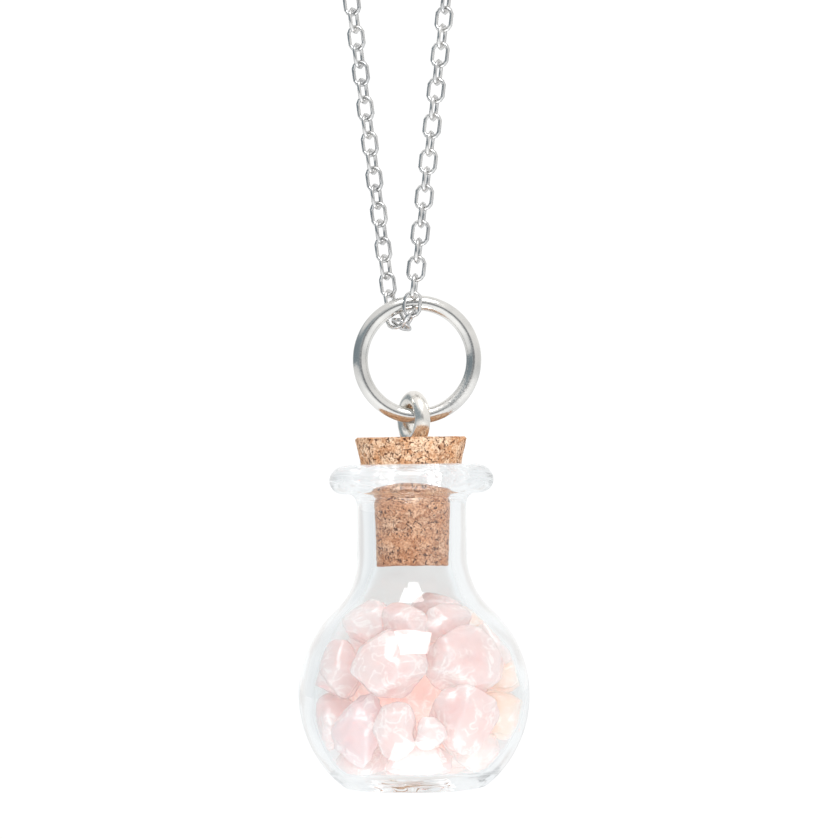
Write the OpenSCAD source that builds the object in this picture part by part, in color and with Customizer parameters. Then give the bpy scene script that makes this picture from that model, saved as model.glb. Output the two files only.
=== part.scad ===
// A corked glass bottle of rose quartz chips, hung by a jump ring on a fine cable chain.
// Millimetres, +Z up, the front faces -Y. The origin is the top of the chain's loop, where it
// lies on the back of the neck, and the pendant hangs straight below it.

/* [Bottle] */
// Largest diameter of the round body
body_d = 25.1; // [24.5:0.1:27]
// Height from the base to the top of the lip
bottle_h = 34.8; // [34:0.1:38]
// Height of the widest place above the base
waist_h = 10.0; // [9.5:0.1:10.6]
// Outside diameter of the neck
neck_d = 12.0; // [11.6:0.1:13]
// Diameter of the bore through the neck
bore_d = 8.6; // [8.2:0.1:9.4]
// Glass thickness round the body
body_wall = 1.2; // [1:0.1:1.6]
// Glass thickness under the stones
floor_t = 2.2; // [1.6:0.1:3]
// Radius of the sweep from the body up to the neck
shoulder_r = 8; // [6:0.5:9]
// Rounding of the edge of the base
base_edge_r = 1.0; // [0.5:0.1:1.4]
// Diameter of the rolled lip
lip_d = 17.9; // [16.5:0.1:19]
// Thickness of the rolled lip
lip_t = 2.9; // [2.4:0.1:3.2]
// Radius of the curve under the lip
lip_fillet_r = 1.1; // [0.6:0.1:1.4]
// Rounding of the mouth, from the bore out to the top of the lip
mouth_r = 1.9; // [1.6:0.1:2.2]

/* [Cork] */
// Height of the cork above the lip
cork_head_h = 3.2; // [2.6:0.1:4]
// Depth of the cork below the top of the lip
cork_plug_h = 10.7; // [9:0.1:11.5]
// Diameter of the cork's top
cork_top_d = 12.2; // [11.5:0.1:13]
// Diameter of the cork where it comes out of the lip
cork_seat_d = 10.8; // [10.4:0.1:11.4]
// Diameter of the cork's lower end
cork_end_d = 7.9; // [7:0.1:8.1]
// Rounding of the cork's edges
cork_edge_r = 0.25; // [0.1:0.05:0.5]
// Gap between the cork and the glass
cork_fit = 0.05; // [0.02:0.01:0.1]

/* [Screw eye] */
// Outside diameter of the loop
eye_d = 6.2; // [5.9:0.1:6.6]
// Thickness of the eye's wire
eye_wire_d = 1.75; // [1.5:0.05:1.85]
// Length of the shank below the cork's top
eye_shank_l = 8; // [6:0.5:10]
// Turn of the loop round its shank, from edge-on
eye_turn = 25; // [0:1:35]
// How far the eye stands to the right of the cork's axis
eye_shift = 0.35; // [0:0.05:0.6]
// Gap between the eye and the ring that it hangs on
eye_rest = 0.2; // [0.1:0.05:0.3]
// Gap between the eye and the cork
eye_fit = 0.04; // [0.02:0.01:0.08]

/* [Jump ring] */
// Outside diameter of the ring
ring_d = 14.0; // [13.5:0.1:15]
// Thickness of the ring's wire
ring_wire_d = 1.67; // [1.4:0.01:1.8]
// Gap left where the ring is closed
ring_seam = 0.12; // [0.06:0.02:0.3]
// Place of that seam round the ring, from 3 o'clock
ring_seam_at = -55; // [-70:1:-20]
// How far the ring hangs to the right of the bottle's axis
ring_shift = 0.8; // [0.4:0.1:1]

/* [Chain] */
// Length of the whole loop with its clasp
chain_l = 420; // [400:1:440]
// Lean of each strand from the vertical
strand_angle = 6.8; // [6:0.1:9]
// Length of a link
link_l = 2.9; // [2.8:0.05:3.1]
// Width of a link
link_w = 2.1; // [2:0.05:2.3]
// Thickness of a link's wire
link_wire_d = 0.42; // [0.36:0.01:0.45]
// Gap between two links where they hook together
link_gap = 0.11; // [0.1:0.01:0.2]

/* [Clasp] */
// Outside diameter of the clasp's spring ring
clasp_d = 6.0; // [5.5:0.1:7]
// Thickness of the spring ring's tube
clasp_tube_d = 1.1; // [0.9:0.05:1.3]
// Outside diameter of the clasp's tail eye
tail_d = 2.6; // [2.4:0.1:3]
// Thickness of the tail eye's wire
tail_wire_d = 0.6; // [0.5:0.05:0.7]
// Diameter of the clasp's finger tab
tab_d = 0.7; // [0.6:0.05:0.8]
// Height of the finger tab above the tube
tab_h = 0.9; // [0.6:0.1:1.2]
// Outside diameter of the plain ring that the clasp closes on
end_ring_d = 4.0; // [3.6:0.1:4.5]
// Thickness of that ring's wire
end_ring_wire_d = 0.6; // [0.5:0.05:0.7]

/* [Stones] */
// Size of the stones against their places in the table
stone_fill = 1.2; // [0.9:0.02:1.3]
// Gap round each stone
stone_gap = 0.15; // [0.1:0.05:0.3]
// Rows of facets from the bottom of a stone to its top
stone_rows = 7; // [5:1:8]
// Facets round a stone
stone_sides = 12; // [8:1:14]

/* [Hidden] */
// The stones by hand, in shares of the hollow body's radius, from its centre. The columns are the
// place across, back and up, the half size across, back and up, and the tilt in degrees.
STONES = [
    [-0.73, -0.25, 0.26, 0.22, 0.24, 0.26, 0],
    [-0.24, -0.66, 0.33, 0.29, 0.24, 0.27, 12],
    [0.46, -0.52, 0.35, 0.33, 0.27, 0.28, -8],
    [0.44, -0.62, -0.17, 0.29, 0.24, 0.29, 5],
    [0.73, -0.13, 0.47, 0.18, 0.24, 0.24, -32],
    [0.85, -0.12, 0.16, 0.16, 0.22, 0.14, 0],
    [0.81, -0.17, -0.16, 0.18, 0.24, 0.22, 10],
    [-0.53, -0.58, -0.29, 0.16, 0.20, 0.35, -26],
    [-0.81, -0.18, -0.20, 0.15, 0.24, 0.23, -5],
    [-0.18, -0.76, -0.27, 0.18, 0.18, 0.24, 6],
    [0.11, -0.80, -0.30, 0.13, 0.14, 0.14, 0],
    [0.60, -0.32, -0.52, 0.35, 0.26, 0.17, -22],
    [0.02, -0.58, -0.60, 0.29, 0.24, 0.15, 0],
    [-0.54, -0.28, -0.60, 0.26, 0.26, 0.14, 14],
    [-0.06, -0.40, 0.69, 0.20, 0.22, 0.13, -6],
    [0.26, -0.38, 0.67, 0.21, 0.22, 0.14, 12],
    [-0.43, -0.22, 0.68, 0.23, 0.26, 0.16, -10],
    [-0.33, 0.05, 0.83, 0.14, 0.18, 0.09, 0],
    [0.26, 0.04, 0.83, 0.27, 0.24, 0.11, 4],
    [0.52, 0.10, 0.65, 0.22, 0.24, 0.16, 18],
    [0.09, -0.12, 0.08, 0.32, 0.28, 0.33, 15],
    [-0.20, 0.02, -0.36, 0.32, 0.32, 0.24, 0],
    [-0.42, 0.00, 0.15, 0.24, 0.30, 0.28, -12],
    [-0.50, 0.50, 0.37, 0.29, 0.27, 0.28, 8],
    [0.09, 0.56, 0.42, 0.29, 0.28, 0.28, -14],
    [0.62, 0.42, 0.28, 0.25, 0.28, 0.27, 6],
    [-0.62, 0.45, -0.26, 0.26, 0.27, 0.28, -8],
    [-0.02, 0.68, -0.14, 0.31, 0.24, 0.29, 10],
    [0.56, 0.48, -0.27, 0.28, 0.27, 0.28, -6],
    [-0.20, 0.38, -0.60, 0.33, 0.32, 0.15, 5],
    [0.32, 0.22, -0.57, 0.26, 0.30, 0.17, -9]
];
// The depth of the hollow below its centre in the table, in the same shares.
TABLE_DEPTH = 7.8 / 11.35;
// Flats that tumbling left on a stone: the direction of each, and its distance from the middle
// in shares of the half size.
FLATS = [
    [0.9, 0.3, 0.5, 0.86], [-0.7, 0.5, 0.6, 0.82], [0.2, -0.9, 0.4, 0.84], [-0.4, -0.6, -0.8, 0.85],
    [0.7, -0.3, -0.7, 0.83], [-0.9, -0.2, 0.1, 0.90], [0.1, 0.8, -0.6, 0.84], [0.1, 0.2, 1.0, 0.88]
];
// The route of the chain through the ring by hand, from the ring's centre: the four places where
// the last link in front, the two links of the turn and the first links behind hook together.
TURN = [[-0.55, -1.72, 4.98], [-1.20, -0.60, 3.77], [-2.10, 1.00, 3.90], [-2.75, 1.90, 5.36]];
// The way across each of the three links between those places, then across the first link of the
// right strand and of the left strand.
TURN_ACROSS = [[0.50, 0.76, 0.42], [0.67, 0.43, -0.60], [0.89, -0.08, 0.44], [0.98, -0.16, -0.12],
    [0.50, 0.86, 0.07]];

$fn = 64;
SLACK = 0.01;

body_r = body_d / 2;
neck_r = neck_d / 2;
bore_r = bore_d / 2;
lip_r = lip_d / 2;
hollow_r = body_r - body_wall;
hollow_shoulder_r = shoulder_r + (neck_r - bore_r);
eye_wire_r = eye_wire_d / 2;
eye_r = (eye_d - eye_wire_d) / 2;
ring_wire_r = ring_wire_d / 2;
ring_r = (ring_d - ring_wire_d) / 2;

// The chain: each link hooks on the next at a contact, and contacts are one pitch apart.
hook = (link_wire_d + link_gap) / 2;
pitch = link_l - 2 * link_wire_d - link_gap;
turn_end = len(TURN) - 1;
turn_l = norm(TURN[1] - TURN[0]) + norm(TURN[2] - TURN[1]) + norm(TURN[3] - TURN[2]);
strand_gap = (TURN[0][0] - TURN[turn_end][0]) / 2;
loop_r = (chain_l - turn_l + 2 * strand_gap / sin(strand_angle))
    / (2 / tan(strand_angle) + PI * (1 + strand_angle / 90));
strand_l = (loop_r * cos(strand_angle) - strand_gap) / sin(strand_angle);
strand_top_z = -loop_r * (1 + sin(strand_angle));
ring_z = strand_top_z - strand_l * cos(strand_angle) - (TURN[0][2] + TURN[turn_end][2]) / 2;
ring_c = [ring_shift, 0, ring_z];

// The bottle hangs on the ring by the eye.
seat_z = ring_z - sqrt(ring_r * ring_r - pow(ring_shift - eye_shift, 2));
eye_z = seat_z + ring_wire_r + eye_rest - (eye_r - eye_wire_r);
eye_sink = eye_wire_r * 1.3;
cork_top_z = eye_z - eye_r - eye_wire_r + eye_sink;
lip_z = cork_top_z - cork_head_h;
base_z = lip_z - bottle_h;

// The clasp: hooked lengths of its ring, its tail and the end ring, and the arc that they take.
end_ring_l = end_ring_d - 2 * end_ring_wire_d - link_gap;
tail_at = (clasp_d + tail_d) / 2 - tail_wire_d * 0.7;
clasp_l = tail_at + (clasp_d - tail_d) / 2 + tail_d - clasp_tube_d - tail_wire_d - link_gap;
left_end = 90 + asin(clasp_l / 2 / loop_r);
mid_end = 90 - asin(clasp_l / 2 / loop_r);
right_end = mid_end - 2 * asin(end_ring_l / 2 / loop_r);

stone_count = len(STONES);

function stone_name(i) = str("stone_", i < 10 ? "0" : "", i);

// Half of the bottle's outline, base at zero.
module outer_half() {
    edge_r = sqrt(pow(body_r - base_edge_r, 2) - pow(waist_h - base_edge_r, 2));
    edge_out = [edge_r, base_edge_r - waist_h] * 2 * body_r / (body_r - base_edge_r);
    sweep_r = neck_r + shoulder_r;
    sweep_z = waist_h + sqrt(pow(body_r + shoulder_r, 2) - sweep_r * sweep_r);
    touch = [sweep_r, sweep_z - waist_h] * body_r / (body_r + shoulder_r);
    intersection() {
        translate([0, waist_h]) circle(body_r, $fn = 200);
        polygon([[0, 0], [edge_r, 0], [edge_r, base_edge_r], [edge_out[0], waist_h + edge_out[1]],
            [2 * body_r, 3 * body_r], [0, 3 * body_r]]);
    }
    intersection() {
        translate([edge_r, base_edge_r]) circle(base_edge_r);
        translate([0, 0]) square([body_r, 2 * base_edge_r]);
    }
    difference() {
        polygon([[0, waist_h], [touch[0], waist_h + touch[1]], [sweep_r, sweep_z], [neck_r, sweep_z],
            [0, sweep_z]]);
        translate([sweep_r, sweep_z]) circle(shoulder_r, $fn = 200);
    }
    translate([0, sweep_z - SLACK]) square([neck_r, bottle_h - sweep_z]);
    lip_half();
}

// Half of the lip's outline: a plate with a round edge and a small fillet under it.
module lip_half() {
    edge_r = lip_r - lip_t / 2;
    translate([0, bottle_h - lip_t]) square([edge_r, lip_t]);
    translate([edge_r, bottle_h - lip_t / 2]) circle(lip_t / 2);
    translate([neck_r - SLACK, bottle_h - lip_t - lip_fillet_r]) difference() {
        square([lip_fillet_r + SLACK, lip_fillet_r + SLACK]);
        translate([lip_fillet_r + SLACK, 0]) circle(lip_fillet_r);
    }
}

// Half of the hollow's outline, and of anything that fills it: fit is the gap that is left.
module hollow_half(fit) {
    inner_r = hollow_r - fit;
    sweep_r = bore_r + hollow_shoulder_r;
    sweep_in = hollow_shoulder_r + fit;
    sweep_z = waist_h + sqrt(pow(hollow_r + hollow_shoulder_r, 2) - sweep_r * sweep_r);
    touch = [sweep_r, sweep_z - waist_h] * inner_r / (hollow_r + hollow_shoulder_r);
    intersection() {
        translate([0, waist_h]) circle(inner_r, $fn = 200);
        translate([0, floor_t + fit]) square([body_r, body_d]);
    }
    difference() {
        polygon([[0, waist_h], [touch[0], waist_h + touch[1]], [sweep_r, sweep_z],
            [bore_r - fit, sweep_z], [0, sweep_z]]);
        translate([sweep_r, sweep_z]) circle(sweep_in, $fn = 200);
    }
    translate([0, sweep_z - SLACK]) square([bore_r - fit, bottle_h - sweep_z + 2 * SLACK]);
    mouth_half(fit, bore_r + mouth_r);
}

// Half of the rounded mouth, filled out to the radius reach.
module mouth_half(fit, reach) {
    difference() {
        translate([0, bottle_h - mouth_r]) square([reach, mouth_r + SLACK]);
        translate([bore_r + mouth_r, bottle_h - mouth_r]) circle(mouth_r + fit);
    }
}

// The bottle: blown clear glass, one wall from the base to the rolled lip.
module glass_bottle() {
    color([0.86, 0.93, 0.95, 0.35]) translate([0, 0, base_z]) rotate_extrude($fn = 200) difference() {
        outer_half();
        hollow_half(0);
    }
}

// Half of the cork's outline: a plug in the bore, the flare of the mouth, and the tapered head.
module cork_half() {
    seat_r = cork_seat_d / 2;
    top_r = cork_top_d / 2;
    end_r = cork_end_d / 2;
    neck_z = bottle_h - mouth_r;
    end_z = bottle_h - cork_plug_h;
    top_z = bottle_h + cork_head_h;
    polygon([[0, end_z], [end_r - cork_edge_r, end_z], [end_r, end_z + cork_edge_r],
        [bore_r - cork_fit, neck_z], [0, neck_z]]);
    translate([0, -SLACK]) mouth_half(cork_fit, seat_r);
    polygon([[0, bottle_h - SLACK], [seat_r, bottle_h - SLACK], [top_r, top_z - cork_edge_r],
        [top_r - cork_edge_r, top_z], [0, top_z]]);
}

// The cork: pressed granules, squeezed by the mouth, with a hole that the eye is screwed into.
module cork_stopper() {
    color([0.74, 0.50, 0.31]) difference() {
        translate([0, 0, base_z]) rotate_extrude($fn = 128) cork_half();
        eye_shape(eye_fit);
    }
}

// The eye's loop and shank, swollen by fit where it is used as a cutter.
module eye_shape(fit) {
    shank_top_z = eye_z - eye_r;
    shank_bottom_z = cork_top_z - eye_shank_l - fit;
    translate([eye_shift, 0, eye_z]) rotate([90, 0, 90 + eye_turn])
        rotate_extrude() translate([eye_r, 0]) circle(eye_wire_r + fit, $fn = 32);
    translate([eye_shift, 0, shank_bottom_z])
        cylinder(h = shank_top_z - shank_bottom_z, r = eye_wire_r * 0.8 + fit, $fn = 32);
}

// The screw eye: bright wire bent to a loop, its shank hidden in the cork.
module screw_eye() {
    color([0.78, 0.79, 0.80]) eye_shape(0);
}

// The jump ring: thick round wire, cut through where it is closed.
module jump_ring() {
    seam_angle = ring_seam / ring_r * 180 / PI;
    color([0.80, 0.81, 0.82]) translate(ring_c) rotate([90, 0, 0])
        rotate([0, 0, ring_seam_at + seam_angle / 2])
        rotate_extrude(angle = 360 - seam_angle, $fn = 128) translate([ring_r, 0])
        circle(ring_wire_r, $fn = 40);
}

// One oval link of round wire, long side up, its width along X.
module link() {
    bend_r = (link_w - link_wire_d) / 2;
    side_l = link_l - link_w;
    for (up = [1, -1]) translate([0, 0, up * side_l / 2]) rotate([up * 90, 0, 0])
        rotate_extrude(angle = 180, $fn = 32) translate([bend_r, 0])
        circle(link_wire_d / 2, $fn = 16);
    for (side = [1, -1]) translate([side * bend_r, 0, -side_l / 2])
        cylinder(h = side_l, d = link_wire_d, $fn = 16);
}

// Stands its children between two contacts, turned by roll about the line through them.
module between(from, to, roll = 0) {
    way = to - from;
    translate((from + to) / 2) rotate([0, acos(way[2] / norm(way)), atan2(way[1], way[0])])
        rotate([0, 0, roll]) children();
}

// The roll that lays a link's width along a given direction.
function roll_to(from, to, across) =
    let (way = to - from, tip = acos(way[2] / norm(way)), turn = atan2(way[1], way[0]),
        first = [cos(tip) * cos(turn), cos(tip) * sin(turn), -sin(tip)],
        second = [-sin(turn), cos(turn), 0])
    atan2(across * second, across * first);

function on_loop(angle) = [loop_r * cos(angle), 0, loop_r * (sin(angle) - 1)];

// The contacts of one side, from its end at the ring up the strand and round the top arc.
// side is 1 on the right and -1 on the left.
function side_contacts(ring_end, side, arc_end) =
    let (start = on_loop(side > 0 ? -strand_angle : 180 + strand_angle),
        start_angle = side > 0 ? -strand_angle : 180 + strand_angle,
        strand_n = ceil(norm(start - ring_end) / pitch),
        arc_n = ceil(abs(arc_end - start_angle) / (2 * asin(pitch / 2 / loop_r))))
    concat(
        [for (k = [0:strand_n - 1]) ring_end + (start - ring_end) * k / strand_n],
        [for (k = [0:arc_n]) on_loop(start_angle + (arc_end - start_angle) * k / arc_n)]
    );

// A run of links along a list of contacts, each turned a quarter from the last. A slight twist is
// shared out so that the last link meets the clasp squarely.
module run_of_links(contacts, across, last_roll) {
    last = len(contacts) - 2;
    first_roll = roll_to(contacts[0], contacts[1], across);
    off = last_roll - first_roll - 90 * (last % 2);
    twist = off - 180 * round(off / 180);
    for (k = [0:last])
        between(contacts[k], contacts[k + 1], first_roll + 90 * (k % 2) + twist * k / last) link();
}

// A link of the turn through the ring.
module turn_link(k) {
    from = ring_c + TURN[k];
    to = ring_c + TURN[k + 1];
    between(from, to, roll_to(from, to, TURN_ACROSS[k])) link();
}

// The right strand, in front of the ring, with the links that turn back under its top.
module chain_right() {
    color([0.76, 0.77, 0.78]) {
        run_of_links(side_contacts(ring_c + TURN[0], 1, right_end), TURN_ACROSS[3], 0);
        turn_link(0);
        turn_link(1);
    }
}

// The left strand, which goes up behind the ring.
module chain_left() {
    color([0.76, 0.77, 0.78]) {
        run_of_links(side_contacts(ring_c + TURN[turn_end], -1, left_end), TURN_ACROSS[4], 90);
        turn_link(2);
    }
}

// A wire ring standing in the plane of Z and X.
module wire_ring(outside_d, wire_d) {
    rotate([90, 0, 0]) rotate_extrude() translate([(outside_d - wire_d) / 2, 0])
        circle(wire_d / 2, $fn = 32);
}

// The clasp: a plain spring ring with a tail eye and a finger tab, at the back of the neck.
module clasp() {
    ring_at = -clasp_l / 2 + clasp_d / 2 - clasp_tube_d - hook + link_wire_d / 2;
    color([0.80, 0.81, 0.82]) between(on_loop(mid_end), on_loop(left_end)) {
        translate([0, 0, ring_at]) wire_ring(clasp_d, clasp_tube_d);
        translate([0, 0, ring_at + tail_at]) wire_ring(tail_d, tail_wire_d);
        translate([0, 0, ring_at]) rotate([0, 50, 0])
            cylinder(h = clasp_d / 2 + tab_h, d = tab_d, $fn = 24);
    }
}

// The plain ring that the clasp closes on.
module end_ring() {
    color([0.80, 0.81, 0.82]) between(on_loop(right_end), on_loop(mid_end), 90)
        wire_ring(end_ring_d, end_ring_wire_d);
}

// How far a stone reaches in one direction of its own before a plane at a distance stops it.
function to_plane(way, normal, distance) =
    way * normal > 0.001 ? distance / (way * normal) : 4 * body_r;

// A stone's own axes after its tilt in the view plane.
function tilted(v, tilt) = [v[0] * cos(tilt) - v[2] * sin(tilt), v[1], v[0] * sin(tilt) + v[2] * cos(tilt)];

// The table's shares up are of the hollow's radius above its centre, and of its depth below that.
function share_up(i) = STONES[i][2] > 0 ? hollow_r : (waist_h - floor_t) / TABLE_DEPTH;

function stone_at(i) =
    [STONES[i][0] * hollow_r, STONES[i][1] * hollow_r, waist_h + STONES[i][2] * share_up(i)];
function stone_half(i) =
    [STONES[i][3] * hollow_r, STONES[i][4] * hollow_r, STONES[i][5] * share_up(i)] * stone_fill;

// A stone's half size along one direction of the bottle's.
function half_along(i, way) =
    let (own = tilted(way, -STONES[i][6]), half = stone_half(i))
    norm([own[0] * half[0], own[1] * half[1], own[2] * half[2]]);

// The reach of a stone: its oval, its flats, its share of the space to each neighbour, and the
// glass round it, each of them a convex bound.
function reach(i, way) =
    let (own = tilted(way, -STONES[i][6]), half = stone_half(i),
        flat_way = [own[0] / half[0], own[1] / half[1], own[2] / half[2]],
        oval = 1 / norm(flat_way),
        flats = min([for (f = FLATS)
            let (n = [f[0], f[1], f[2]], size = norm(n), turn = pow(-1, i))
            to_plane(flat_way, [n[0] * turn, n[1], n[2]] / size, f[3])]),
        at = stone_at(i),
        near = min([for (j = [0:stone_count - 1]) if (j != i)
            let (gap = stone_at(j) - at, far = norm(gap), n = gap / far,
                mine = half_along(i, n), theirs = half_along(j, n))
            to_plane(way, n, (far - stone_gap) * mine / (mine + theirs))]),
        room = hollow_r - stone_gap,
        from_centre = at - [0, 0, waist_h],
        along = from_centre * way,
        glass = -along + sqrt(max(0, along * along - from_centre * from_centre + room * room)),
        floor_reach = to_plane(way, [0, 0, -1], at[2] - floor_t - stone_gap))
    min(oval, flats, near, glass, floor_reach);

// The corners of a stone: one below, rows of a ring each, and one above.
function stone_points(i) = concat(
    [stone_at(i) + [0, 0, -reach(i, [0, 0, -1])]],
    [for (row = [1:stone_rows - 1]) for (side = [0:stone_sides - 1])
        let (up = -90 + 180 * row / stone_rows, round = 360 * (side + (row % 2) / 2) / stone_sides,
            way = [cos(up) * cos(round), cos(up) * sin(round), sin(up)])
        stone_at(i) + way * reach(i, way)],
    [stone_at(i) + [0, 0, reach(i, [0, 0, 1])]]
);

function ring_corner(row, side) = 1 + (row - 1) * stone_sides + side % stone_sides;

// The triangles between those corners, seen clockwise from outside.
function stone_faces() = let (top = 1 + (stone_rows - 1) * stone_sides) concat(
    [for (side = [0:stone_sides - 1]) [0, ring_corner(1, side), ring_corner(1, side + 1)]],
    [for (row = [1:stone_rows - 2]) for (side = [0:stone_sides - 1])
        let (lean = row % 2, a = ring_corner(row, side), b = ring_corner(row, side + 1),
            c = ring_corner(row + 1, side + lean), d = ring_corner(row + 1, side + 1))
        each (lean == 1 ? [[a, c, b], [a, ring_corner(row + 1, side), c]]
            : [[a, c, b], [b, c, d]])],
    [for (side = [0:stone_sides - 1])
        [top, ring_corner(stone_rows - 1, side + 1), ring_corner(stone_rows - 1, side)]]
);

// One tumbled chip of rose quartz.
module stone(i) {
    warm = (i * 7 % 5) / 5;
    color([0.97, 0.84 - 0.06 * warm, 0.84 - 0.10 * warm]) translate([0, 0, base_z])
        polyhedron(points = stone_points(i), faces = stone_faces(), convexity = 2);
}

glass_bottle();
cork_stopper();
screw_eye();
jump_ring();
chain_right();
chain_left();
clasp();
end_ring();
for (i = [1:stone_count]) stone(i - 1);
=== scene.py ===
import math

import bpy
import numpy
from mathutils import Matrix, Quaternion, Vector


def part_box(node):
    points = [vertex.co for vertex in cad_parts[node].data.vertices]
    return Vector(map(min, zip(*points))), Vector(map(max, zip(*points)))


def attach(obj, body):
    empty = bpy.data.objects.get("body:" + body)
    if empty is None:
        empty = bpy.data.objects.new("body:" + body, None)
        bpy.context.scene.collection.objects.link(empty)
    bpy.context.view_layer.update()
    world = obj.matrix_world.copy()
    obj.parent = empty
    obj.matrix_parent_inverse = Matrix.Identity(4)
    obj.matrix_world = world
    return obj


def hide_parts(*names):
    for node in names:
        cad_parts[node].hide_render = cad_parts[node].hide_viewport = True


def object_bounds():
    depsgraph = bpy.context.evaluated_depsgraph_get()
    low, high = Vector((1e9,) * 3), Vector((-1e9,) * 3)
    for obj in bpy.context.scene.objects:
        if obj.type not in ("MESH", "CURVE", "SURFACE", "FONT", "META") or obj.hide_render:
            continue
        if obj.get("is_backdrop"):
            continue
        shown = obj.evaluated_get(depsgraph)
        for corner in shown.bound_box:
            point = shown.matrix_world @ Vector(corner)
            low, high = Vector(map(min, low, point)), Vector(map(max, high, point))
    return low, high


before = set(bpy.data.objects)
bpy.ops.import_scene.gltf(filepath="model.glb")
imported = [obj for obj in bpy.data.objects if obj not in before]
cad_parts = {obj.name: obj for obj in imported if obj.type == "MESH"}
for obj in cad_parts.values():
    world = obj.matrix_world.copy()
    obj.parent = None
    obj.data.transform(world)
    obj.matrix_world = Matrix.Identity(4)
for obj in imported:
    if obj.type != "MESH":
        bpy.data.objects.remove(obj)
cad_low, cad_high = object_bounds()

# The view. The pendant hangs straight down and is seen from in front, a little above the lip, from
# 400 mm away. The picture is 839 pixels square and shows 9.2 of them to a millimetre at the
# bottle's axis. The camera leans a little, so the pendant's top leans left in it.
picture_side, pixels_per_m, sensor = 839, 9200, 36
camera_side, camera_away, camera_up = 0.00098, 0.400, 0.0360
aim_up, camera_lean = 0.0399, math.radians(0.77)
base_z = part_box("glass_bottle")[0].z
camera = bpy.data.objects.new("camera", bpy.data.cameras.new("camera"))
bpy.context.collection.objects.link(camera)
bpy.context.scene.camera = camera
camera.data.sensor_width = sensor
camera.data.lens = sensor * camera_away * pixels_per_m / picture_side
camera.data.clip_start, camera.data.clip_end = 0.01, 20
camera.location = (camera_side, -camera_away, base_z + camera_up)
view_way = Vector((camera_side, 0, base_z + aim_up)) - camera.location
camera.rotation_mode = "QUATERNION"
camera.rotation_quaternion = Quaternion(view_way, camera_lean) @ view_way.to_track_quat("-Z", "Y")

# The studio. A white room, blue-grey on the camera's left and dim straight behind it, white paper
# well under the bottle, a wide lamp overhead and a small one on the paper in front.


class Value:
    """One value in a shader. Arithmetic on it adds the Math nodes that work it out."""

    def __init__(self, tree, socket=None):
        self.tree, self.socket = tree, socket

    def node(self, kind, sockets=None, out=0, **settings):
        """Adds a node: its settings first, then the values or links of its sockets."""
        new = self.tree.nodes.new("ShaderNode" + kind)
        for name, value in settings.items():
            setattr(new, name, value)
        for name, value in (sockets or {}).items():
            if isinstance(value, Value):
                self.tree.links.new(value.socket, new.inputs[name])
            else:
                new.inputs[name].default_value = value
        return Value(self.tree, new.outputs[out] if len(new.outputs) else None)

    def other(self, out):
        """Another output of the node that this value comes from."""
        return Value(self.tree, self.socket.node.outputs[out])

    def math(self, operation, *others):
        return self.node("Math", dict(enumerate((self, *others))), operation=operation)

    def blend(self, low, high, **settings):
        """From colour low where this value is 0 to colour high where it is 1."""
        return self.node("Mix", {0: self, 6: low, 7: high}, out=2, data_type="RGBA", **settings)

    def step(self, low, high):
        """A soft step from 0 at low to 1 at high."""
        return self.node("MapRange", {0: self, 1: low, 2: high}, interpolation_type="SMOOTHSTEP")

    def __add__(self, other):
        return self.math("ADD", other)

    def __mul__(self, other):
        return self.math("MULTIPLY", other)

    def __sub__(self, other):
        return self.math("SUBTRACT", other)

    def __rsub__(self, other):
        return self.math("MULTIPLY_ADD", -1.0, other)

    __radd__, __rmul__ = __add__, __mul__


def rgb(red, green, blue):
    """A colour as a screen shows it, each part 0 to 255, made linear."""
    return (*(((c / 255 + 0.055) / 1.055) ** 2.4 for c in (red, green, blue)), 1)


white, bright_white, glowing_white = (1, 1, 1, 1), (1.05, 1.05, 1.05, 1), (1.1, 1.1, 1.1, 1)
world = bpy.data.worlds.new("studio")
bpy.context.scene.world = world
world.use_nodes = True
world.node_tree.nodes.clear()
room = Value(world.node_tree)
across = room.node("SeparateXYZ", {0: room.node("TexCoord")})
depth, up = across.other("Y"), across.other("Z")
front = depth * -1.0
left = (across * -1.0).step(0.05, 0.45) * up.step(0.60, 0.35) * up.step(-0.85, -0.60)
dim_front = front.step(0.90, 0.99)
walls = dim_front.blend(white, rgb(150, 153, 157))
walls = left.blend(walls, rgb(146, 159, 167))
walls = (front.step(-0.6, -0.9) + up.step(0.5, 0.9) * 0.4).blend(walls, glowing_white)
# Rays that come out of glass meet a greyer room straight behind the pendant.
path = room.node("LightPath")
straight, share_greyed = depth.step(0.90, 0.985), 0.85
seen_through = straight.blend((0.95, 0.965, 0.97, 1), (0.80, 0.77, 0.75, 1))
walls = (path.other("Is Transmission Ray") * share_greyed).blend(walls, seen_through)
backdrop = path.blend(walls, bright_white)
room.node("OutputWorld", {"Surface": room.node("Background", {"Color": backdrop})})
bpy.context.scene.view_settings.view_transform = "Standard"
# Light goes round many times in the thick glass and between the stones before it comes out.
bounces = bpy.context.scene.cycles
bounces.max_bounces, bounces.diffuse_bounces = 90, 14
bounces.glossy_bounces, bounces.transmission_bounces = 80, 80


def lamp(name, place, wide, deep, turn, glow):
    """A flat lamp that faces down, or up where it is turned, and glows as brightly all over."""
    data = bpy.data.lights.new(name, "AREA")
    data.shape, data.size, data.size_y = "RECTANGLE", wide, deep
    data.energy = glow * math.pi * wide * deep
    new = bpy.data.objects.new(name, data)
    bpy.context.collection.objects.link(new)
    new.location, new.rotation_euler = place, (turn, 0, 0)


waist_h = 0.010
waist = base_z + waist_h
lamp("overhead_lamp", (0, -0.33, waist + 0.5), wide=0.275, deep=0.30, turn=0, glow=8)
lamp("low_lamp", (0, -0.063, waist - 0.095), wide=0.076, deep=0.084, turn=math.pi, glow=3.5)


def dressed(name, shader_of):
    """A material whose surface is what shader_of returns for its node tree."""
    material = bpy.data.materials.new(name)
    material.use_nodes = True
    material.node_tree.nodes.clear()
    start = Value(material.node_tree)
    start.node("OutputMaterial", {"Surface": shader_of(start)})
    return material


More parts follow.
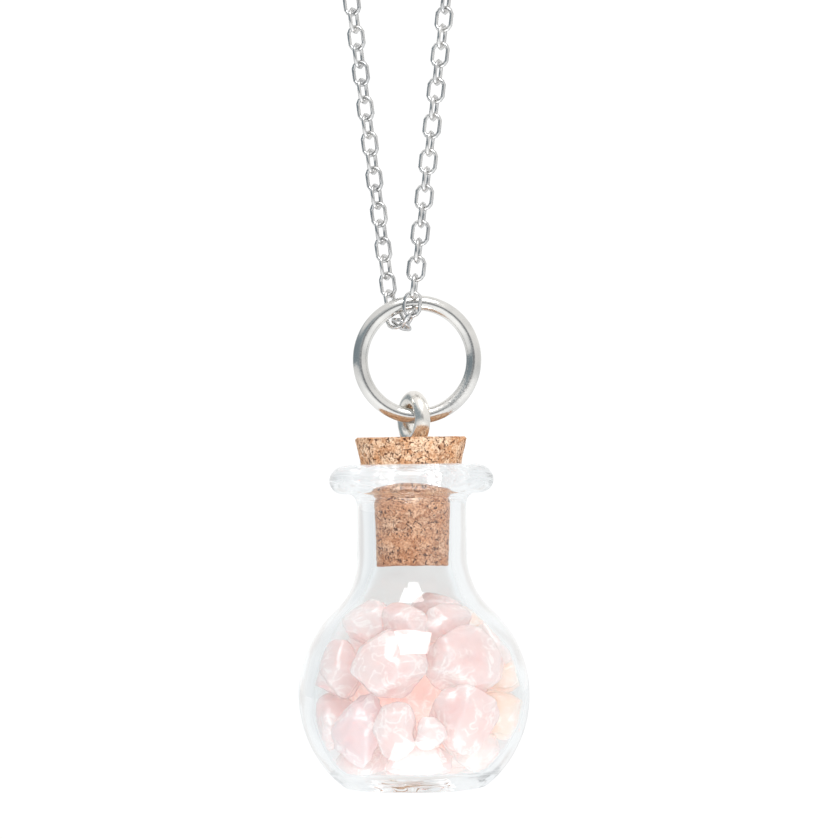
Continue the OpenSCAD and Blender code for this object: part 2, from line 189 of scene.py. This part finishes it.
paper_r, paper_drop = 3.0, 0.09
bpy.ops.object.select_all(action="DESELECT")
bpy.ops.mesh.primitive_circle_add(
    vertices=64, radius=paper_r, fill_type="NGON", location=(0, 0, 0)
)
paper = bpy.context.object
paper.name = "paper"
bpy.ops.object.mode_set(mode="EDIT")
bpy.ops.mesh.select_all(action="SELECT")
bpy.ops.transform.translate(value=(0, 0, base_z - paper_drop))
bpy.ops.object.mode_set(mode="OBJECT")


def lit_paper(start):
    """Paper that the camera sees as the same white as the room."""
    seen = start.node("LightPath")
    matt = start.node("BsdfDiffuse", {"Color": (0.90, 0.91, 0.92, 1)})
    shown = start.node("Emission", {"Color": bright_white})
    return start.node("MixShader", {0: seen, 1: matt, 2: shown})


paper.data.materials.append(dressed("paper", lit_paper))
paper.visible_transmission = False
paper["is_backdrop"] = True

# The bottle. One piece of clear blown glass, a round body on a small flat base, a short neck and a
# thick rolled lip. It was blown by hand, so its wall is a little uneven and thicker on the left.
body_r, wall, hollow_shift = 0.01255, 0.0012, 0.0003
neck_r, bore_r, shoulder_r = 0.006, 0.0043, 0.008
bottle_h, lip_r, lip_t, lip_fillet = 0.0348, 0.00895, 0.0029, 0.0011
rim_r, rim_h, funnel_z = 0.00690, 0.0351, 0.0327
floor_t, base_edge, floor_edge, base_flat = 0.0022, 0.0010, 0.0007, 0.0002


def arc(centre, radius, start, end, count):
    """Points round a centre from angle start to angle end, in degrees, as (radius, height)."""
    turns = [math.radians(start + (end - start) * i / count) for i in range(count + 1)]
    return [(centre[0] + radius * math.cos(t), centre[1] + radius * math.sin(t)) for t in turns]


def filled_in(points, spacing):
    """The same outline with a point at least every so far."""
    dense = [points[0]]
    for (r0, z0), (r1, z1) in zip(points, points[1:]):
        count = max(1, round(math.hypot(r1 - r0, z1 - z0) / spacing))
        for i in range(1, count + 1):
            dense.append((r0 + (r1 - r0) * i / count, z0 + (z1 - z0) * i / count))
    return dense


def turned(name, outline, steps, place):
    """A piece spun on the wheel: its outline of (radius, height) goes round the axis."""
    bpy.ops.object.select_all(action="DESELECT")
    bpy.ops.mesh.primitive_plane_add(size=0.0001, location=(0, 0, 0))
    piece = bpy.context.object
    piece.name = name
    bpy.ops.object.mode_set(mode="EDIT")
    bpy.ops.mesh.merge(type="CENTER")
    bpy.ops.transform.translate(value=(outline[0][0], 0, outline[0][1] + place))
    for (r0, z0), (r1, z1) in zip(outline, outline[1:]):
        bpy.ops.mesh.extrude_region_move(TRANSFORM_OT_translate={"value": (r1 - r0, 0, z1 - z0)})
    bpy.ops.mesh.select_all(action="SELECT")
    bpy.ops.mesh.spin(steps=steps, angle=math.tau, center=(0, 0, 0), axis=(0, 0, 1))
    bpy.ops.mesh.select_all(action="SELECT")
    bpy.ops.mesh.remove_doubles(threshold=1e-6)
    bpy.ops.mesh.normals_make_consistent(inside=False)
    bpy.ops.object.mode_set(mode="OBJECT")
    bpy.ops.object.shade_smooth()
    return piece


def worked(piece, kind, **settings):
    """Adds a modifier of a kind to a piece, with its settings, and applies it."""
    bpy.context.view_layer.objects.active = piece
    change = piece.modifiers.new(kind.lower(), kind)
    for name, value in settings.items():
        setattr(change, name, value)
    bpy.ops.object.modifier_apply(modifier=change.name)


def roughened(piece, size, height, middle=0.5, detail=2):
    """Moves a surface in and out by a height, over lumps of a size."""
    lumps = bpy.data.textures.new(piece.name + "_lumps", "CLOUDS")
    lumps.noise_scale, lumps.noise_depth = size, detail
    worked(
        piece,
        "DISPLACE",
        texture=lumps,
        texture_coords="LOCAL",
        strength=height,
        mid_level=middle,
    )


edge_x = math.sqrt((body_r - base_edge) ** 2 - (waist_h - base_edge) ** 2)
edge_turn = math.degrees(math.atan2(base_edge - waist_h, edge_x))
sweep_x = neck_r + shoulder_r
sweep_z = waist_h + math.sqrt((body_r + shoulder_r) ** 2 - sweep_x**2)
sweep_turn = math.degrees(math.atan2(sweep_z - waist_h, sweep_x))
hollow_r, hollow_sweep = body_r - wall, sweep_x - bore_r
hollow_z = waist_h + math.sqrt((hollow_r + hollow_sweep) ** 2 - sweep_x**2)
hollow_turn = math.degrees(math.atan2(hollow_z - waist_h, sweep_x))
corner_z, lip_z = floor_t + floor_edge, bottle_h - lip_t / 2
corner_x = math.sqrt((hollow_r - floor_edge) ** 2 - (waist_h - corner_z) ** 2)
corner_turn = math.degrees(math.atan2(corner_z - waist_h, corner_x))
outside = (
    [(0, 0), (edge_x * 0.5, 0)]
    + arc((edge_x, base_edge), base_edge, -90, edge_turn, 6)
    + arc((0, waist_h), body_r, edge_turn, sweep_turn, 36)[1:]
    + arc((sweep_x, sweep_z), shoulder_r, 180 + sweep_turn, 180, 14)[1:]
    + [(neck_r, sweep_z + (bottle_h - lip_t - lip_fillet - sweep_z) * i / 5) for i in range(1, 5)]
    + arc((neck_r + lip_fillet, bottle_h - lip_t - lip_fillet), lip_fillet, 180, 90, 6)
    + arc((lip_r - lip_t / 2, lip_z), lip_t / 2, -90, 0, 8)
    + [
        (rim_r + (lip_r - rim_r) * r, lip_z + (rim_h - lip_z) * z)
        for r, z in arc((0, 0), 1, 10, 90, 8)
    ]
)
mouth = [
    (rim_r - 0.0002, rim_h - 0.00006),
    (rim_r - 0.00035, rim_h - 0.00025),
    (bore_r + 0.00015, funnel_z),
    (bore_r, funnel_z - 0.0003),
    (bore_r, hollow_z),
]
inside = (
    filled_in(mouth, spacing=0.0005)[:-1]
    + arc((sweep_x, hollow_z), hollow_sweep, 180, 180 + hollow_turn, 14)
    + arc((0, waist_h), hollow_r, hollow_turn, corner_turn, 34)[1:]
    + arc((corner_x, corner_z), floor_edge, corner_turn, -90, 5)[1:]
    + [(corner_x * 0.5, floor_t), (0, floor_t)]
)
bottle = turned("bottle", outside + inside, steps=160, place=base_z)


def off_centre(place):
    """How far the hollow stands to the right at a place in it, most at the waist."""
    return hollow_shift * max(0, 1 - abs(place.z - base_z - waist_h) / body_r)


for vertex in bottle.data.vertices:
    height = vertex.co.z - base_z
    reach = math.hypot(vertex.co.x, vertex.co.y)
    if math.hypot(reach, height - waist_h) < body_r - wall / 2 and height > floor_t * 0.6:
        vertex.co.x += off_centre(vertex.co)
roughened(bottle, size=0.007, height=0.00016)
for vertex in bottle.data.vertices:
    reach = math.hypot(vertex.co.x, vertex.co.y)
    if vertex.co.z < base_z + base_flat and reach < edge_x:
        vertex.co.z = base_z


def gathering(start):
    """1 for the rays that only gather light, from a lamp or off a matt surface."""
    ray = start.node("LightPath", out="Is Shadow Ray")
    return ray.math("MAXIMUM", ray.other("Is Diffuse Ray"))


def clear_glass(start):
    """Clear glass that lets lamp light through to what it holds."""
    through = gathering(start)
    glass = start.node(
        "BsdfPrincipled",
        {
            "Base Color": (0.945, 0.96, 0.965, 1),
            "Roughness": 0.0,
            "IOR": 1.5,
            "Transmission Weight": 1.0,
        },
    )
    plain = start.node("BsdfTransparent", {"Color": (0.985, 0.99, 0.99, 1)})
    return start.node("MixShader", {0: through, 1: glass, 2: plain})


bottle.data.materials.append(dressed("clear_glass", clear_glass))
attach(bottle, "bottle")
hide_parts("glass_bottle")

# The stones. Tumbled chips of rose quartz, poured in until they fill the body. They are milky and
# pale, with whiter veins that also serve as a painted highlight on their edges, some of them peach
# or grey, and nearly coral deep in the heap. All of them glow a little, as painted light for the
# light that reaches them through the other stones, the coral ones most.
stones, stone_gap = range(1, 32), 0.0001
cuts, cut_turn, stone_turn = 7, 2.4, 1.7
cut_depth, cut_change = 0.80, 0.03
mesh_size, wear, wear_rounds = 0.00022, 0.5, 5
# Each tint: its name, its low and high colours, its glow, and the stones that take it. The glow is
# painted light for what reaches a stone through the others, most for the coral ones deep in the
# heap.
tints = (
    ("pale", rgb(234, 209, 207), rgb(239, 223, 221), 0.02, stones),
    ("whitish", rgb(237, 224, 221), rgb(242, 233, 230), 0.02, (5, 12, 25, 30)),
    ("peach", rgb(245, 219, 203), rgb(248, 229, 219), 0.05, (6, 7, 20, 28)),
    ("greyish", rgb(231, 211, 212), rgb(238, 223, 224), 0.02, (8, 27)),
    ("coral", rgb(247, 212, 205), rgb(250, 226, 220), 0.15, (21, 22, 23, 31)),
)


def noise(place, scale, detail, distortion=0.0, roughness=0.5, out=0):
    """Noise at a place, with so many lumps to a metre."""
    sockets = {"Scale": scale, "Detail": detail, "Roughness": roughness, "Distortion": distortion}
    return place.node("TexNoise", {"Vector": place, **sockets}, out)


def quartz(low, high, glow):
    """Milky quartz between two tints, with whiter veins and a finely pitted, tumbled surface. The
    whiter veins are partly painted highlight: they also stand for the chips' bright edges. The
    glow is
    painted light: it stands for the light that reaches it through the other stones."""

    def shader_of(start):
        place = start.node("TexCoord", out="Object")
        cloud = noise(place, 260.0, 3.0, distortion=0.6)
        vein = noise(place, 520.0, 5.0, distortion=1.2)
        body = cloud.step(0.35, 0.65).blend(low, high)
        # Whiter veins: real veins, and also a painted highlight standing for the chips' bright
        # edges.
        veins_and_edge_highlight = (vein - 0.5).math("ABSOLUTE").step(0.05, 0.0) * cloud.step(0.42, 0.55) * 0.9
        grain = noise(place, 2600.0, 3.0)
        height = grain * 0.25 + vein * 0.8
        relief = start.node("Bump", {"Strength": 0.4, "Distance": 0.0003, "Height": height})
        milky = start.node(
            "BsdfPrincipled",
            {
                "Base Color": veins_and_edge_highlight.blend(body, rgb(253, 247, 244)),
                "Emission Color": body,
                "Emission Strength": glow,
                "Roughness": 0.14 + grain * 0.1,
                "IOR": 1.54,
                "Subsurface Weight": 0.9,
                "Subsurface Radius": (1.0, 0.7, 0.66),
                "Subsurface Scale": 0.005,
                "Transmission Weight": 0.35,
                "Normal": relief,
            },
        )
        plain = start.node("BsdfTransparent", {"Color": (0.98, 0.92, 0.91, 1)})
        return start.node("MixShader", {0: gathering(start) * 0.65, 1: milky, 2: plain})

    return shader_of


finish_of = {}
for tint, low, high, glow, numbers in tints:
    finish_of.update(dict.fromkeys(numbers, dressed(tint + "_quartz", quartz(low, high, glow))))
heart, stone_room = Vector((0, 0, waist)), hollow_r - stone_gap
for number in stones:
    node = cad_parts["stone_%02d" % number]
    chip = bpy.data.objects.new("quartz_%02d" % number, node.data.copy())
    bpy.context.collection.objects.link(chip)
    bpy.ops.object.select_all(action="DESELECT")
    chip.select_set(True)
    bpy.context.view_layer.objects.active = chip
    bpy.ops.object.mode_set(mode="EDIT")
    bpy.ops.mesh.select_all(action="SELECT")
    bpy.ops.mesh.remove_doubles(threshold=2e-6)
    bpy.ops.object.mode_set(mode="OBJECT")
    worked(chip, "SUBSURF", subdivision_type="SIMPLE", levels=2, render_levels=2)
    roughened(chip, size=0.0034, height=0.0018, middle=0.39)
    middle = sum((vertex.co for vertex in chip.data.vertices), Vector()) / len(chip.data.vertices)
    bpy.ops.object.mode_set(mode="EDIT")
    for cut in range(cuts):
        turn, tilt = cut * cut_turn + number * stone_turn, math.asin(1 - (cut + 0.5) * 2 / cuts)
        flat = math.cos(tilt)
        out = Vector((math.cos(turn) * flat, math.sin(turn) * flat, math.sin(tilt)))
        chip.update_from_editmode()
        reach = max((vertex.co - middle).dot(out) for vertex in chip.data.vertices)
        bpy.ops.mesh.select_all(action="SELECT")
        bpy.ops.mesh.bisect(
            plane_co=middle + out * reach * (cut_depth + cut_change * (cut % 3)),
            plane_no=out,
            use_fill=True,
            clear_outer=True,
        )
    bpy.ops.mesh.select_all(action="SELECT")
    bpy.ops.mesh.quads_convert_to_tris()
    bpy.ops.object.mode_set(mode="OBJECT")
    worked(chip, "REMESH", mode="VOXEL", voxel_size=mesh_size)
    worked(chip, "SMOOTH", factor=wear, iterations=wear_rounds)
    roughened(chip, size=0.0009, height=0.00012)
    for vertex in chip.data.vertices:
        out = vertex.co - heart
        if out.length > stone_room:
            vertex.co = heart + out * stone_room / out.length
        vertex.co.z = max(vertex.co.z, base_z + floor_t + stone_gap)
        vertex.co.x += off_centre(vertex.co)
    bpy.ops.object.shade_smooth()
    chip.data.materials.clear()
    chip.data.materials.append(finish_of[number])
    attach(chip, "bottle")
    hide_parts("stone_%02d" % number)

# The cork. A tapered stopper of pressed cork granules, squeezed by the neck, its sides crumbly
# where it was ground, with dark bark specks and small holes. Inside the neck it is painted darker,
# as painted shade.
cork_top, cork_end, seat_r, top_r, end_r = 0.038, 0.0241, 0.0054, 0.0061, 0.00395
top_edge, end_edge, fit, flare_r = 0.0002, 0.00008, 0.00005, 0.0019
flare_centre = (bore_r + flare_r, bottle_h - flare_r)
flare = [p for p in arc(flare_centre, flare_r + fit, 180, 90, 14) if p[0] < seat_r]
stopper = turned(
    "cork",
    filled_in(
        [(0, cork_end), (end_r - end_edge, cork_end), (end_r, cork_end + end_edge)]
        + flare
        + [(seat_r, bottle_h), (top_r, cork_top - top_edge)]
        + [(top_r - top_edge, cork_top), (0, cork_top)],
        spacing=0.00025,
    ),
    steps=150,
    place=base_z,
)
roughened(stopper, size=0.0009, height=0.00022, middle=0.62, detail=3)


def cork_grain(start):
    """Pressed cork: tan granules, mottled, with short curved flecks and specks of dark bark. Below
    the top of the neck it is painted greyer and darker, as painted shade where the neck and glass
    shade it."""
    place = start.node("TexCoord", out="Object")
    drift, shade_fade_depth = 0.0006, 0.002
    bent = noise(place, 1100.0, 2.0, out="Color")
    shifted = start.node("VectorMath", {0: bent, 1: (drift, drift, drift)}, operation="MULTIPLY")
    moved = start.node("VectorMath", {0: place, 1: shifted}, operation="ADD")
    packed = {"Vector": moved, "Scale": 1150.0}
    granule = start.node("TexVoronoi", packed, out="Color")
    seam = start.node("TexVoronoi", packed, feature="DISTANCE_TO_EDGE")
    shade = start.node("SeparateColor", {0: granule})
    patch = noise(place, 420.0, 2.0)
    fine = noise(place, 4200.0, 3.0, roughness=0.6)
    fleck = noise(place, 1300.0, 2.0, distortion=1.2)
    spots = noise(place, 2300.0, 2.0)
    tan = shade.blend(rgb(200, 150, 112), rgb(249, 216, 184))
    tan = (patch.step(0.42, 0.62) * 0.6).blend(tan, rgb(222, 158, 106))
    tan = (fine.step(0.45, 0.66) * 0.75).blend(tan, rgb(156, 100, 66))
    tan = (fine.step(0.48, 0.30) * 0.6).blend(tan, rgb(253, 226, 196))
    crack = seam.step(0.08, 0.02) * fleck.step(0.57, 0.62)
    curl = noise(place, 900.0, 1.0, distortion=2.5)
    curl = (curl - 0.5).math("ABSOLUTE").step(0.030, 0.010) * fleck.step(0.46, 0.41)
    dark = crack.math("MAXIMUM", curl).math("MAXIMUM", spots.step(0.63, 0.68))
    up = start.node("SeparateXYZ", {0: place}, out="Z")
    # Painted shade: the cork turns darker and greyer just below the top of the neck and stays so
    # further down.
    neck_shade = up.step(base_z + bottle_h, base_z + bottle_h - shade_fade_depth)
    bark = (dark * 0.92).blend(tan, rgb(86, 42, 22))
    bark = neck_shade.blend(bark, rgb(238, 224, 219), blend_type="MULTIPLY")
    height = fine * 0.6 - dark + seam.step(0.0, 0.25) * 0.25
    return start.node(
        "BsdfPrincipled",
        {
            "Base Color": bark,
            "Roughness": 0.85,
            "Specular IOR Level": 0.3,
            "Normal": start.node("Bump", {"Strength": 0.9, "Distance": 0.0002, "Height": height}),
        },
    )


stopper.data.materials.append(dressed("pressed_cork", cork_grain))
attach(stopper, "stopper")
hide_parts("cork_stopper")

# The screw eye. Bright steel wire bent to a closed loop on a shank that is screwed into the cork.
# The loop is turned, so its near leg stands to the right of its far leg.
eye_low, eye_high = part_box("screw_eye")
eye_wire, eye_r, eye_turn = 0.000875, 0.002225, math.radians(115)
eye_x, eye_z = (eye_low.x + eye_high.x) / 2, eye_high.z - eye_r - eye_wire
shank_r, shank_l = eye_wire * 0.8, eye_z - eye_r - eye_low.z


def bent_wire(name, radius, thick, steps, sides, gap=0.0):
    """Round wire bent to a ring about the Y axis. A gap in degrees leaves it open at its start."""
    bpy.ops.object.select_all(action="DESELECT")
    bpy.ops.mesh.primitive_circle_add(vertices=sides, radius=thick, location=(0, 0, 0))
    piece = bpy.context.object
    piece.name = name
    bpy.ops.object.mode_set(mode="EDIT")
    bpy.ops.mesh.select_all(action="SELECT")
    bpy.ops.transform.translate(value=(radius, 0, 0))
    bpy.ops.mesh.spin(
        steps=steps, angle=math.radians(360 - gap), center=(0, 0, 0), axis=(0, 1, 0)
    )
    bpy.ops.mesh.select_all(action="SELECT")
    bpy.ops.mesh.remove_doubles(threshold=1e-6)
    if gap:
        bpy.ops.mesh.select_all(action="DESELECT")
        bpy.ops.mesh.select_non_manifold()
        bpy.ops.mesh.edge_face_add()
    bpy.ops.mesh.select_all(action="SELECT")
    bpy.ops.mesh.normals_make_consistent(inside=False)
    bpy.ops.object.mode_set(mode="OBJECT")
    bpy.ops.object.shade_smooth_by_angle(angle=math.radians(50))
    return piece


eye = bent_wire("eye", eye_r, eye_wire, steps=72, sides=32)
bpy.ops.object.mode_set(mode="EDIT")
bpy.ops.mesh.select_all(action="SELECT")
bpy.ops.transform.rotate(value=-eye_turn, orient_axis="Z", center_override=(0, 0, 0))
bpy.ops.transform.translate(value=(eye_x, 0, eye_z))
bpy.ops.mesh.primitive_cylinder_add(
    vertices=32, radius=shank_r, depth=shank_l, location=(eye_x, 0, eye_low.z + shank_l / 2)
)
bpy.ops.object.mode_set(mode="OBJECT")


def polished(low, high, rough, gripped=None):
    """Polished steel between two tints, with fine scratches and soft waves from bending, and the
    marks of pliers round the place where it was gripped."""

    def shader_of(start):
        place = start.node("TexCoord", out="Object")
        cloud = noise(place, 350.0, 2.0)
        hair = noise(place, 5000.0, 3.0)
        height, dull = hair * 0.25 + cloud, hair.step(0.4, 0.8) * 0.12 + rough
        if gripped:
            away = start.node("VectorMath", {0: place, 1: gripped}, "Value", operation="DISTANCE")
            dents = noise(place, 1500.0, 4.0, distortion=2.0)
            marks = away.step(0.0042, 0.0008) * dents
            height, dull = height + marks * 2.5, dull + marks * 0.25
        relief = start.node("Bump", {"Strength": 0.25, "Distance": 0.00006, "Height": height})
        return start.node(
            "BsdfPrincipled",
            {
                "Base Color": cloud.step(0.3, 0.7).blend(low, high),
                "Metallic": 1.0,
                "Roughness": dull,
                "Normal": relief,
            },
        )

    return shader_of


nickel = polished(rgb(222, 219, 213), rgb(238, 234, 228), 0.2)
eye.data.materials.append(dressed("nickel", nickel))
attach(eye, "stopper")
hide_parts("screw_eye")

# The jump ring. Thick round steel wire, cut and closed at the lower right, where the pliers that
# closed it left small flats and scratches.
ring_low, ring_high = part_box("jump_ring")
ring_wire, ring_r, seam_gap = 0.000835, 0.006165, 0.35
seam_at, grip_at = math.radians(55), math.radians(40)
ring = bent_wire("ring", ring_r, ring_wire, steps=180, sides=40, gap=seam_gap)
ring_middle = (ring_low + ring_high) / 2
bpy.ops.object.mode_set(mode="EDIT")
bpy.ops.mesh.select_all(action="SELECT")
bpy.ops.transform.rotate(value=-seam_at, orient_axis="Y", center_override=(0, 0, 0))
bpy.ops.transform.translate(value=ring_middle)
bpy.ops.object.mode_set(mode="OBJECT")
steel_look = rgb(203, 202, 199), rgb(224, 222, 218), 0.12
gripped = ring_middle + Vector((ring_r * math.cos(grip_at), 0, -ring_r * math.sin(grip_at)))
ring.data.materials.append(dressed("gripped_steel", polished(*steel_look, gripped)))
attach(ring, "ring")
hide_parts("jump_ring")

# The chain. Fine cable chain of oval links, each bent from round wire and hooked through the next
# a quarter turn round. It goes through the ring and up on both sides to the clasp.
link_l, link_w, link_wire, link_count = 0.0029, 0.0021, 0.00042, 106
bend_steps, wire_sides, side_gain = 12, 5, 1.06
bpy.ops.object.select_all(action="DESELECT")
bpy.ops.mesh.primitive_torus_add(
    major_segments=bend_steps,
    minor_segments=wire_sides,
    major_radius=(link_w - link_wire) / 2 / math.cos(math.pi / bend_steps),
    minor_radius=link_wire / 2 * side_gain,
    rotation=(0, 0, math.pi / bend_steps),
)
link = bpy.context.object
bpy.ops.object.transform_apply(location=False, rotation=True, scale=False)
for vertex in link.data.vertices:
    vertex.co.y += math.copysign((link_l - link_w) / 2, vertex.co.y)
bpy.ops.object.shade_smooth()
chain_steel = polished(rgb(192, 192, 192), rgb(214, 213, 211), 0.14)
link.data.materials.append(dressed("chain_steel", chain_steel))


def strung(name, node):
    """A strand: the link, copied to where each link of the CAD's strand lies."""
    corners = numpy.empty(3 * len(node.data.vertices))
    node.data.vertices.foreach_get("co", corners)
    bpy.ops.object.select_all(action="DESELECT")
    for cloud in corners.reshape(link_count, -1, 3):
        centre = cloud.mean(axis=0)
        along, wide = numpy.linalg.svd(cloud - centre, full_matrices=False)[2][:2]
        copy = bpy.data.objects.new(name, link.data.copy())
        bpy.context.collection.objects.link(copy)
        turn = Matrix((wide, along, numpy.cross(wide, along))).transposed()
        copy.matrix_world = Matrix.Translation(centre) @ turn.to_4x4()
        copy.select_set(True)
    bpy.context.view_layer.objects.active = copy
    bpy.ops.object.join()
    bpy.ops.object.transform_apply(location=True, rotation=True, scale=True)
    return copy


for side in ("left", "right"):
    strand = strung("strand_" + side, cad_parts["chain_" + side])
    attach(strand, "chain")
    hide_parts("chain_" + side)
bpy.data.objects.remove(link)

# The clasp. A plain spring ring and the small ring that it closes on, both of steel wire, at the
# back of the neck. They keep the shapes of the CAD and are polished as the jump ring is.
steel = dressed("polished_steel", polished(*steel_look))
for name in ("clasp", "end_ring"):
    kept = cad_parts[name]
    if not kept.material_slots:
        kept.data.materials.append(steel)
    for place in kept.material_slots:
        place.link, place.material = "OBJECT", steel

bpy.ops.object.select_all(action="DESELECT")
low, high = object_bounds()
sizes = {"cad": [list(cad_low), list(cad_high)], "visual": [list(low), list(high)]}
